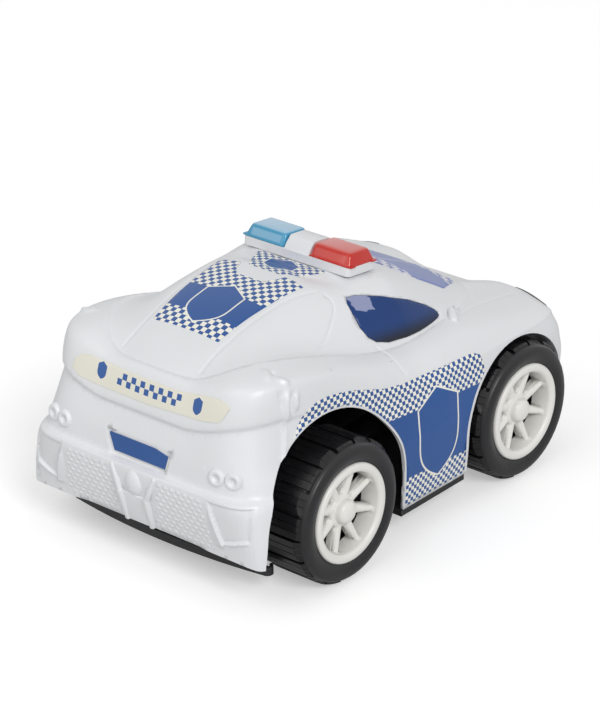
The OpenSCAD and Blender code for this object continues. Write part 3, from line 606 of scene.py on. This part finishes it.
def vent(spot):
    """Sunk field of a corner vent with a blade along its inner side and a bar below it."""
    x, y, z = (c / MM for c in spot)
    y = abs(y)
    if x > -110 or not 28 < z < 64 or not 46 < y < 84:
        return 0.0
    inner = 52.4 + (61 - z) * 0.29
    foot = 36.8 + (y - 58.5) * 0.33
    field = soft_step(inner - 0.4, inner + 0.4, y) * (1 - soft_step(75.4, 77.6, y))
    field *= soft_step(foot, foot + 1, z) * (1 - soft_step(60.4, 61.4, z))
    blade = min(1.0, max(0.0, (y - 51.8) / (inner - 51.8))) if y < inner + 0.4 else 0.0
    blade *= soft_step(61.5, 52, z) * soft_step(34, 36.5, z)
    rail = max(0.0, 1 - abs(z - foot) / 1.3) ** 0.7 * soft_step(58, 66, y) * (1 - soft_step(74.5, 76.5, y))
    return (-1.5 * field + max(1.3 * blade, 1.1 * rail)) * MM


def relief(spot):
    """Soft panel lines, gathers, vents and mesh dots on the outside of the body."""
    lift = vent(spot) + flare(spot) + (mesh_field(spot) or 0.0)
    if ALL_LINES[0].find(spot)[2] < LINE_REACH:
        for tree, marks in LINES:
            _, index, far = tree.find(spot)
            _, depth, half = marks[index]
            lift -= depth * math.exp(-(far / half) ** 2)
    return lift


def path_distance(points, u, v):
    """Distance of a point from a drawn line of straight parts."""
    best = 1e9
    for (au, av), (bu, bv) in zip(points, points[1:]):
        du, dv = bu - au, bv - av
        t = min(1.0, max(0.0, ((u - au) * du + (v - av) * dv) / (du * du + dv * dv)))
        best = min(best, math.hypot(u - au - t * du, v - av - t * dv))
    return best


# Pieces

def finished(bm, name, material, body, crease=32.0):
    """Turns a bmesh into a piece that rides on a body."""
    mesh = bpy.data.meshes.new(name)
    bm.to_mesh(mesh)
    bm.free()
    mesh.materials.append(material)
    for polygon in mesh.polygons:
        polygon.use_smooth = True
    mesh.set_sharp_from_angle(angle=math.radians(crease))
    piece = bpy.data.objects.new(name, mesh)
    bpy.context.scene.collection.objects.link(piece)
    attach(piece, body)
    return piece


def merged_copy(node):
    """Copy of a CAD node with its points merged."""
    bm = bmesh.new()
    bm.from_mesh(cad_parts[node].data)
    bmesh.ops.remove_doubles(bm, verts=bm.verts, dist=MERGE_GAP)
    bmesh.ops.dissolve_degenerate(bm, edges=bm.edges, dist=MERGE_GAP)
    return bm


def take_out(bm, verts):
    """Takes points out of a skin and closes the skin again."""
    bmesh.ops.delete(bm, geom=verts, context="VERTS")
    patches = []
    for fill in (bmesh.ops.holes_fill, bmesh.ops.edgeloop_fill):
        rim = [e for e in bm.edges if e.is_boundary]
        patches += fill(bm, edges=rim)["faces"] if rim else []
    for face in patches:
        loop = face.loops[0]
        if loop.vert == loop.link_loop_radial_next.vert:
            face.normal_flip()
    bmesh.ops.triangulate(bm, faces=patches, ngon_method="BEAUTY")


def lay_flat(bm, depth):
    """Takes the raised and sunk details off the body, so that rounded ones can take their place."""
    fins = []
    for vert in bm.verts:
        x, y, z = (c / MM for c in vert.co)
        raised = 0.25 * MM < vert[depth] < 8 * MM and (x < -115 or z > 90)
        sunk = -1.95 * MM < vert[depth] < -0.2 * MM and x < -110 and 38.5 < z < 62 and 52.5 < abs(y) < 77.5
        if raised and x < -125 and abs(y) < 21 and z < 64:
            fins.append(vert)
        elif raised or sunk:
            vert.co = depth_of(vert.co, FACETS)[1]
            vert[depth] = 0.0
        elif abs(y) < 24.5 and 64 < z < 79 and abs(x + 127.8 + (z - 71.5) * 0.2126) < 0.5:
            vert.co.x -= (78 - z) * 0.246 * MM
            vert[depth] = depth_of(vert.co, FACETS)[0]
    take_out(bm, fins)


def close_cut_lines(bm, depth):
    """Takes out the cut panel lines, so that soft lines can take their place."""
    floors = []
    for vert in bm.verts:
        if -1.0 * MM < vert[depth] < -0.2 * MM:
            x, y, z = (c / MM for c in vert.co)
            side_line = min(path_distance(QUARTER_LINE, x, z), path_distance(DOOR_LINE, x, z) + 0.2)
            if path_distance(HATCH_LINE, x, -abs(y)) < 1.0 or abs(y) > 20 and side_line < 1.1:
                floors.append(vert)
    take_out(bm, floors)


def lay_on_curve(bm, depth, wanted, rounds, carved):
    """Divides long edges and lays every point of the skin on the fine surface at its own depth."""
    for _ in range(rounds):
        long_edges = [e for e in bm.edges if e.calc_length() > wanted(e)
                      and all(abs(v[depth]) < SKIN for f in e.link_faces for v in f.verts)]
        if not long_edges:
            break
        bmesh.ops.subdivide_edges(bm, edges=long_edges, cuts=1)
        bmesh.ops.triangulate(bm, faces=[f for f in bm.faces if len(f.verts) > 3])
    for vert in bm.verts:
        if abs(vert[depth]) < SKIN:
            near, place, normal = depth_of(vert.co, SURFACE)
            if abs(near - vert[depth]) < STRAY:
                out = relief(place) if carved and abs(vert[depth]) < OUTSIDE else 0.0
                vert.co = place + normal * (vert[depth] + out)
    for vert in bm.verts:
        vert.co = shaped(vert.co)
    bm.normal_update()


def with_depth(bm):
    """Layer with the distance of each point outside the solid body."""
    depth = bm.verts.layers.float.new("depth")
    for vert in bm.verts:
        vert[depth] = depth_of(vert.co, FACETS)[0]
    return depth


def smooth_film(node, name, material):
    """Film of a label or window laid on the smooth curve of the body."""
    bm = merged_copy(node)
    depth = with_depth(bm)
    if node.startswith("headlight"):
        across = -1 if node.endswith("right") else 1
        whole = bm.verts[:] + bm.edges[:] + bm.faces[:]
        bmesh.ops.bisect_plane(bm, geom=whole, plane_co=(0.1272, across * 0.049, 0),
                               plane_no=(1, across * 0.1, 0), clear_inner=True)
        bmesh.ops.holes_fill(bm, edges=[e for e in bm.edges if e.is_boundary])
    lay_on_curve(bm, depth, lambda edge: EDGE_FILM, 3, False)
    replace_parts(finished(bm, name, material, "car"), node)


def smooth_shell():
    """Smooth body shell with soft panel lines, gathers on the shoulders, vents and mesh fields in the bumper."""
    bm = merged_copy("body_shell")
    depth = with_depth(bm)
    lay_flat(bm, depth)
    close_cut_lines(bm, depth)

    def wanted(edge):
        first, second = edge.verts
        if max(abs(first[depth]), abs(second[depth])) > OUTSIDE:
            return EDGE_DEEP
        spot = (first.co + second.co) / 2
        in_vent = spot.x < -0.11 and 0.032 < spot.z < 0.064 and 0.047 < abs(spot.y) < 0.08
        if in_vent or mesh_field(spot) is not None:
            return EDGE_DETAIL
        if abs(flare(spot)) > 0.00015:
            return EDGE_STEP
        tree, marks = ALL_LINES
        _, index, far = tree.find(spot)
        return EDGE_DETAIL if far < 2.6 * marks[index][2] else EDGE_SKIN

    lay_on_curve(bm, depth, wanted, 7, True)
    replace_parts(finished(bm, "shell", white_plastic, "car"), "body_shell")


def add(bm, part):
    """Joins a part to a bmesh."""
    mesh = bpy.data.meshes.new("part")
    part.to_mesh(mesh)
    part.free()
    bm.from_mesh(mesh)
    bpy.data.meshes.remove(mesh)


def turned(profile, steps, closed=False):
    """Form turned about Z from pairs of radius and height."""
    bm = bmesh.new()
    verts = [bm.verts.new(Vector((r, 0, z)) * MM) for r, z in profile]
    edges = [bm.edges.new(pair) for pair in zip(verts, verts[1:] + (verts[:1] if closed else []))]
    bmesh.ops.spin(bm, geom=verts + edges, cent=(0, 0, 0), axis=(0, 0, 1), angle=2 * math.pi, steps=steps,
                   use_merge=True)
    bmesh.ops.remove_doubles(bm, verts=bm.verts, dist=1e-6)
    bmesh.ops.recalc_face_normals(bm, faces=bm.faces)
    return bm


def rounded(bm, geom, offset, segments, affect="EDGES"):
    """Rounds edges or corners."""
    bmesh.ops.bevel(bm, geom=geom, offset=offset * MM, offset_type="OFFSET", segments=segments, profile=0.5,
                    affect=affect, material=-1)


def bar(bm, first, second, wide, far_wide):
    """Round-ended bar that tapers from one point to the other."""
    a, b = Vector(first) * MM, Vector(second) * MM
    turn = (b - a).to_track_quat("Z", "Y").to_matrix()
    for vert in bmesh.ops.create_uvsphere(bm, u_segments=20, v_segments=12, radius=0.5)["verts"]:
        far = vert.co.z > 1e-6
        vert.co = turn @ (vert.co * (far_wide if far else wide) * MM) + (b if far else a)


def lamp_rings():
    """Pairs of round lamp rings moulded in the rear end."""
    profile = [(5.05, -0.6), (5.0, 0.4), (4.78, 1.6), (4.5, 2.3), (4.05, 2.7), (3.3, 2.78), (2.6, 2.66),
               (2.2, 2.3), (1.45, 1.0), (0, 0.95)]
    bm = bmesh.new()
    for side in (-1, 1):
        for x, y, turn in ((-128.6, 54.2, 6), (-126.6, 63.6, 12)):
            ring = turned(profile, 36)
            place = (Matrix.Translation(Vector((x, side * y, 73)) * MM)
                     @ Matrix.Rotation(math.radians(-side * turn), 4, "Z")
                     @ Matrix.Rotation(math.radians(-84), 4, "Y"))
            bmesh.ops.transform(ring, matrix=place, verts=ring.verts)
            add(bm, ring)
    finished(bm, "lamp_rings", white_plastic, "car", 50)


def bumper_trim():
    """Fins beside the fog lamp, the fog lamp with the block below it, and the mirror stubs."""
    bm = bmesh.new()
    stubs = bmesh.new()
    for side in (-1, 1):
        bar(bm, (-135.4, side * 15, 61), (-136, side * 9.4, 47.5), 2.55, 3.75)
        bar(bm, (-136, side * 9.4, 47.5), (-131.6, side * 8.8, 30.5), 3.75, 3.75)
        bar(stubs, (54, side * 62, 102), (49, side * 67, 99.8), 4.4, 5.6)
    fog = bmesh.ops.create_uvsphere(bm, u_segments=28, v_segments=18, radius=5.9 * MM)["verts"]
    for vert in fog:
        vert.co = Vector((vert.co.x * 0.58, vert.co.y, vert.co.z * 1.28)) + Vector((-134.6, 0, 54.8)) * MM
    below = bmesh.new()
    bmesh.ops.create_cube(below, size=1.0)
    for vert in below.verts:
        x, y, z = vert.co
        vert.co = Vector((-133 + x * 6, y * 18, 47.7) if z > 0 else (-129.4 + x * 6, y * 17, 29.5)) * MM
    rounded(below, below.edges[:], 0.9, 4)
    add(bm, below)
    finished(bm, "bumper_trim", white_plastic, "car", 60)
    finished(stubs, "mirror_stubs", white_plastic, "car", 60)


BAR = Matrix.Translation(Vector(BAR_PLACE) * MM) @ Matrix.Rotation(math.radians(BAR_TILT), 4, "Y")


def block(bm, low, high, edge):
    """Box between two corners with rounded edges."""
    part = bmesh.new()
    bmesh.ops.create_cube(part, size=1.0)
    for vert in part.verts:
        vert.co = Vector([(h if c > 0 else l) * MM for c, l, h in zip(vert.co, low, high)])
    rounded(part, part.edges[:], edge, 3)
    add(bm, part)


def lens(name, node, side, material):
    """Lens with sloping sides, round edges, a thin flange and two tabs at its outer end."""
    bm = bmesh.new()
    bmesh.ops.create_cube(bm, size=1.0)
    for vert in bm.verts:
        high, out = vert.co.z > 0, vert.co.y > 0
        x = math.copysign(8.0 if high else 11.2, vert.co.x)
        y = (34.9 if high else 37.35) if out else (9.9 if high else 9.4)
        vert.co = Vector((x, y, 12.2 if high else 5.0)) * MM
    upper = [e for e in bm.edges if any(v.co.z > 9 * MM for v in e.verts)]
    rounded(bm, upper, 2.0, 6)
    block(bm, (-11.35, 9.32, 4.98), (11.35, 37.48, 5.7), 0.3)
    for x in (-8.75, 8.75):
        block(bm, (x - 2, 36.4, 4.98), (x + 2, 38.68, 5.9), 0.3)
    for vert in bm.verts:
        vert.co.y *= side
    bmesh.ops.recalc_face_normals(bm, faces=bm.faces)
    bmesh.ops.transform(bm, matrix=BAR, verts=bm.verts)
    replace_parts(finished(bm, name, material, "car", 40), node)


def rounded_copy(node, name, material, width):
    """Copy of a piece with its sharp edges rounded."""
    bm = merged_copy(node)
    bmesh.ops.dissolve_limit(bm, angle_limit=math.radians(1.0), verts=bm.verts, edges=bm.edges)
    piece = finished(bm, name, material, "car", 40)
    rounding = piece.modifiers.new("rounding", "BEVEL")
    rounding.width = width * MM
    rounding.segments = 3
    rounding.limit_method = "ANGLE"
    rounding.angle_limit = math.radians(40)
    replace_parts(piece, node)


# Tread over one pitch: share of the pitch and depth of the cut there
PITCHES = 18
RIM_TURN = {"rear": -15, "front": -10}
BARREL_END = WHEEL_FACE - 13
TREAD = [(0.0, 0.0), (0.02, 1.6), (0.12, 1.6), (0.14, 0.0), (0.39, 0.0), (0.402, 0.3), (0.42, 0.3), (0.432, 0.0),
         (0.68, 0.0), (0.692, 0.3), (0.71, 0.3), (0.722, 0.0)]


def wheel_place(end, side, face):
    """Place of a form turned about Z on the outer face of a wheel."""
    return (Matrix.Translation(Vector((AXLES[end], side * face, HUB_Z)) * MM)
            @ Matrix.Rotation(math.radians(-side * 90), 4, "X"))


def tyre(end, side):
    """Tyre with a smooth sidewall and tread blocks whose shoulders step in and out by turns."""
    outer = [(26.1, -0.3), (28, 0.6), (30.5, 1.8), (33, 2.2), (35.4, 2.0), (37.2, 1.1), (38, 0.1),
             (38.2, -0.6), (39.3, -0.9), (40, -2.2), (40, -8)]
    inner = [(26.1, -0.3), (30, 0), (34.6, 0), (36.6, -0.4), (37.5, -1.3), (37.8, -2.0), (39.2, -2.2),
             (40, -3.4), (40, -8)]
    profile = outer + [(r, -34 - z) for r, z in reversed(inner)]
    parts = PITCHES * len(TREAD)
    bm = turned(profile, parts, closed=True)
    for vert in bm.verts:
        radius, z = math.hypot(vert.co.x, vert.co.y) / MM, vert.co.z / MM
        count = round(math.degrees(math.atan2(vert.co.y, vert.co.x)) / 360 * parts) % parts
        pitch, step = divmod(count, len(TREAD))
        share, cut = TREAD[step]
        if radius > 38.9:
            radius -= cut
            inset = 2.4 if pitch % 2 and step else 0.0
            z += -inset if z > -6 else inset if z < -28 else 0.0
        angle = (pitch + share) / PITCHES * 2 * math.pi
        vert.co = Vector((radius * math.cos(angle), radius * math.sin(angle), z)) * MM
    bmesh.ops.transform(bm, matrix=wheel_place(end, side, TYRE_FACE), verts=bm.verts)
    bmesh.ops.recalc_face_normals(bm, faces=bm.faces)
    hand = HANDS[side]
    piece = finished(bm, f"{end}_tread_{hand}", tyre_films[end], f"{end}_wheels", 24)
    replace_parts(piece, f"{end}_tyre_{hand}")


def rim(end, side):
    """Rim turned to its place in the picture, with a wide cap and a short barrel that leaves dark gaps."""
    hand = HANDS[side]
    node = f"{end}_rim_{hand}"
    bm = merged_copy(node)
    axle = Vector((AXLES[end], 0, HUB_Z)) * MM
    for vert in bm.verts:
        spot = vert.co - axle
        if math.hypot(spot.x, spot.z) > 17 * MM and abs(spot.y) < BARREL_END * MM:
            vert.co.y = side * BARREL_END * MM
    bmesh.ops.remove_doubles(bm, verts=bm.verts, dist=MERGE_GAP)
    cap = turned([(6.7, -7.2), (6.7, -4.4), (6.4, -3.2), (5.5, -2.2), (4, -1.5), (2, -1.15), (0, -1.1)], 40)
    bmesh.ops.transform(cap, matrix=wheel_place(end, side, WHEEL_FACE), verts=cap.verts)
    add(bm, cap)
    turn = (Matrix.Translation(axle) @ Matrix.Rotation(math.radians(RIM_TURN[end]), 4, "Y")
            @ Matrix.Translation(-axle))
    bmesh.ops.transform(bm, matrix=turn, verts=bm.verts)
    piece = finished(bm, f"{end}_wheel_rim_{hand}", wheel_plastic, f"{end}_wheels", 36)
    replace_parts(piece, node)


def plate():
    """Printed film in the number plate recess."""
    bm = bmesh.new()
    outline = [(21.3, 4.7), (-11.4, 4.7), (-21.9, 2.4), (-20, -5.7), (17.6, -6.1)]
    bm.faces.new([bm.verts.new(Vector((-0.4, y, z)) * MM) for y, z in outline])
    rounded(bm, bm.verts[:], 1.1, 4, "VERTICES")
    bmesh.ops.solidify(bm, geom=bm.faces[:], thickness=0.25 * MM)
    place = Matrix.Translation(Vector(PLATE_PLACE) * MM) @ Matrix.Rotation(math.radians(PLATE_TILT), 4, "Y")
    bmesh.ops.transform(bm, matrix=place, verts=bm.verts)
    bmesh.ops.recalc_face_normals(bm, faces=bm.faces)
    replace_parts(finished(bm, "plate_print", number_film, "car", 30), "number_plate_label")


def dress(node, material):
    """Gives a CAD node its finish."""
    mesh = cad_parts[node].data
    mesh.materials.clear()
    mesh.materials.append(material)


smooth_shell()
for node, name, material, slot in (
        ("hatch_label", "hatch_print", hatch_film, "label_blue"),
        ("roof_label", "roof_print", roof_film, "label_blue"),
        ("windscreen_label", "windscreen_print", windscreen_film, "label_blue"),
        ("side_label", "side_print", side_film, "label_blue"),
        ("rear_panel_label", "rear_panel_print", cream_film, "label_cream"),
        ("side_window_right", "window_right", glass_film, "window_blue"),
        ("side_window_left", "window_left", glass_film, "window_blue"),
        ("headlight_right", "headlight_film_right", dark_film, "lamp_dark"),
        ("headlight_left", "headlight_film_left", dark_film, "lamp_dark")):
    smooth_film(node, name, material)
lamp_rings()
bumper_trim()
lens("red_cover", "red_lens", -1, red_lens_plastic)
lens("blue_cover", "blue_lens", 1, blue_lens_plastic)
rounded_copy("light_bar_base", "light_bar_tray", white_plastic, 0.6)
for end in AXLES:
    for side in (-1, 1):
        tyre(end, side)
        rim(end, side)
plate()

for node in ("rear_axle", "front_axle", "chassis_screws"):
    dress(node, steel_metal)
dress("chassis", black_plastic)


# Floor, light and camera

def pale_floor():
    """Wide plain floor that the camera sees as white, with the shadow of the car on it."""
    bm = bmesh.new()
    bmesh.ops.create_grid(bm, x_segments=1, y_segments=1, size=6.0)
    mesh = bpy.data.meshes.new("floor")
    bm.to_mesh(mesh)
    bm.free()
    material, w, shader = new_material("pale_floor", Roughness=0.9, Specular_IOR_Level=0.1)
    shader.inputs["Base Color"].default_value = (0.8, 0.8, 0.8, 1)
    shader.inputs["Emission Color"].default_value = (1, 1, 1, 1)
    path = w.node("ShaderNodeLightPath")
    seen = w.math("MAXIMUM", path.outputs["Is Camera Ray"], path.outputs["Is Transmission Ray"])
    w.join(w.math("MULTIPLY", seen, 0.41), shader.inputs["Emission Strength"])
    mesh.materials.append(material)
    floor = bpy.data.objects.new("floor", mesh)
    bpy.context.scene.collection.objects.link(floor)


def aimed(name, lamp, place, target=(0, 0, 0.06)):
    """Sets up a lamp that points at the car."""
    made = bpy.data.objects.new(name, lamp)
    made.location = place
    made.rotation_euler = (Vector(target) - Vector(place)).to_track_quat("-Z", "Y").to_euler()
    bpy.context.scene.collection.objects.link(made)


def soft_lamp(name, place, size, power):
    lamp = bpy.data.lights.new(name, "AREA")
    lamp.shape = "SQUARE"
    lamp.size = size
    lamp.energy = power
    aimed(name, lamp, place)


def soft_sun(name, place, strength, spread):
    lamp = bpy.data.lights.new(name, "SUN")
    lamp.energy = strength
    lamp.angle = math.radians(spread)
    aimed(name, lamp, place)


def white_world():
    """Even white light all round, plain white where the camera or a reflection meets it."""
    world = bpy.data.worlds.new("studio")
    bpy.context.scene.world = world
    world.use_nodes = True
    w = Wiring(world.node_tree)
    lit = world.node_tree.nodes["Background"]
    lit.inputs[0].default_value = (1, 1, 1, 1)
    path = w.node("ShaderNodeLightPath")
    seen = w.math("MAXIMUM", path.outputs["Is Camera Ray"],
                  w.math("MAXIMUM", path.outputs["Is Glossy Ray"], path.outputs["Is Transmission Ray"]))
    w.join(w.math("ADD", w.math("MULTIPLY", seen, 0.58), 0.42), lit.inputs[1])


pale_floor()
white_world()
soft_sun("key", (-0.42, -0.83, 0.76), 1.36, 24)
soft_lamp("box", (-0.9, 0.2, 1.1), 0.9, 3.5)

VIEW_TURN, VIEW_RISE, VIEW_ROLL = 48.6, 25.7, -1.4
EYE = (-1.11403, -0.98059, 0.78866)
camera = bpy.data.cameras.new("camera")
camera.lens = 150
camera.sensor_width = 36
eye = bpy.data.objects.new("camera", camera)
turn, rise = math.radians(VIEW_TURN), math.radians(VIEW_RISE)
back = Vector((-math.sin(turn) * math.cos(rise), -math.cos(turn) * math.cos(rise), math.sin(rise)))
eye.matrix_world = (Matrix.Translation(EYE) @ back.to_track_quat("Z", "Y").to_matrix().to_4x4()
                    @ Matrix.Rotation(math.radians(VIEW_ROLL), 4, "Z"))
bpy.context.scene.collection.objects.link(eye)
bpy.context.scene.camera = eye
bpy.context.scene.view_settings.view_transform = "Standard"
